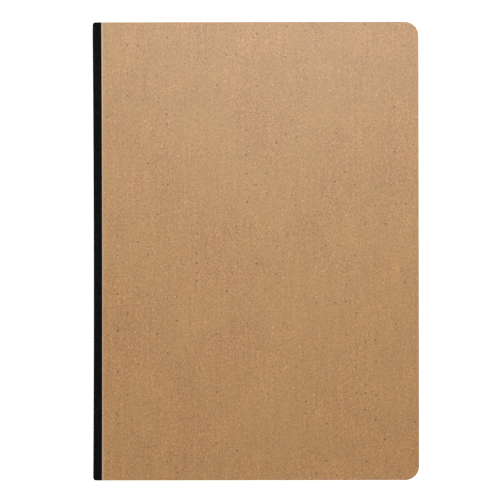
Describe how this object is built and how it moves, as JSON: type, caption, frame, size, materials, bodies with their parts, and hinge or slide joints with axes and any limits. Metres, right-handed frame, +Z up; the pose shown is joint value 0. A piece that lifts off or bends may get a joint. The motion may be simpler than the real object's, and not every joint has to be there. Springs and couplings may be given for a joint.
{
  "type": "pocket notebook",
  "caption": "Closed pocket notebook: rounded raw kraft board covers, black cloth spine, sewn sections of pages that open flat.",
  "frame": {"origin": "centre of the closed book's footprint, on the table", "axes": "+X to the fore edge (the spine is at -X), +Y to the head, +Z up through the front cover"},
  "size_m": [0.1053, 0.148, 0.0099],
  "materials": {
    "kraft_board": "matt unbleached kraft, fibrous, with dark flecks",
    "black_cloth": "matt black book cloth, fine plain weave",
    "endpaper": "matt uncoated, cream",
    "page_paper": "matt uncoated, ivory",
    "sewing_thread": "twisted off-white thread",
    "mull": "open starched gauze",
    "spine_glue": "dried white glue film"
  },
  "bodies": {
    "lower_block": {"back_flyleaf": "endpaper", "section_3_lower": "page_paper", "section_4": "page_paper", "section_5": "page_paper", "sewing_thread_3": "sewing_thread", "sewing_thread_4": "sewing_thread", "sewing_thread_5": "sewing_thread", "spine_glue_lower": "spine_glue", "mull_lower": "mull", "spine_cloth_lower": "black_cloth"},
    "upper_block": {"front_flyleaf": "endpaper", "section_1": "page_paper", "section_2": "page_paper", "section_3_upper": "page_paper", "sewing_thread_1": "sewing_thread", "sewing_thread_2": "sewing_thread", "spine_glue_upper": "spine_glue", "mull_upper": "mull", "spine_cloth_upper": "black_cloth"},
    "front_cover": {"front_board": "kraft_board", "front_pastedown": "endpaper", "front_cloth_lap": "black_cloth"},
    "back_cover": {"back_board": "kraft_board", "back_pastedown": "endpaper", "back_cloth_lap": "black_cloth"},
    "centre_leaf_1": {"centre_leaf_1": "page_paper"},
    "centre_leaf_2": {"centre_leaf_2": "page_paper"},
    "centre_leaf_3": {"centre_leaf_3": "page_paper"},
    "centre_leaf_4": {"centre_leaf_4": "page_paper"}
  },
  "joints": [
    {"name": "middle_opening", "type": "hinge", "parent": "lower_block", "child": "upper_block", "pos_m": [-0.05275, 0, 0.00496], "axis": [0, -1, 0], "range_deg": [0, 180]},
    {"name": "front_cover_opening", "type": "hinge", "parent": "upper_block", "child": "front_cover", "pos_m": [-0.05275, 0, 0.01002], "axis": [0, -1, 0], "range_deg": [0, 175]},
    {"name": "back_cover_opening", "type": "hinge", "parent": "lower_block", "child": "back_cover", "pos_m": [-0.05275, 0, -0.0001], "axis": [0, 1, 0], "range_deg": [0, 175]},
    {"name": "centre_leaf_1_turning", "type": "hinge", "parent": "lower_block", "child": "centre_leaf_1", "pos_m": [-0.05275, 0, 0.00496], "axis": [0, -1, 0], "range_deg": [0, 180]},
    {"name": "centre_leaf_2_turning", "type": "hinge", "parent": "lower_block", "child": "centre_leaf_2", "pos_m": [-0.05275, 0, 0.00496], "axis": [0, -1, 0], "range_deg": [0, 180]},
    {"name": "centre_leaf_3_turning", "type": "hinge", "parent": "lower_block", "child": "centre_leaf_3", "pos_m": [-0.05275, 0, 0.00496], "axis": [0, -1, 0], "range_deg": [0, 180]},
    {"name": "centre_leaf_4_turning", "type": "hinge", "parent": "lower_block", "child": "centre_leaf_4", "pos_m": [-0.05275, 0, 0.00496], "axis": [0, -1, 0], "range_deg": [0, 180]}
  ],
  "couplings": [
    {"joint": "centre_leaf_1_turning", "follows": "middle_opening", "ratio": 0.04},
    {"joint": "centre_leaf_2_turning", "follows": "middle_opening", "ratio": 0.12},
    {"joint": "centre_leaf_3_turning", "follows": "middle_opening", "ratio": 0.62},
    {"joint": "centre_leaf_4_turning", "follows": "middle_opening", "ratio": 0.95}
  ]
}
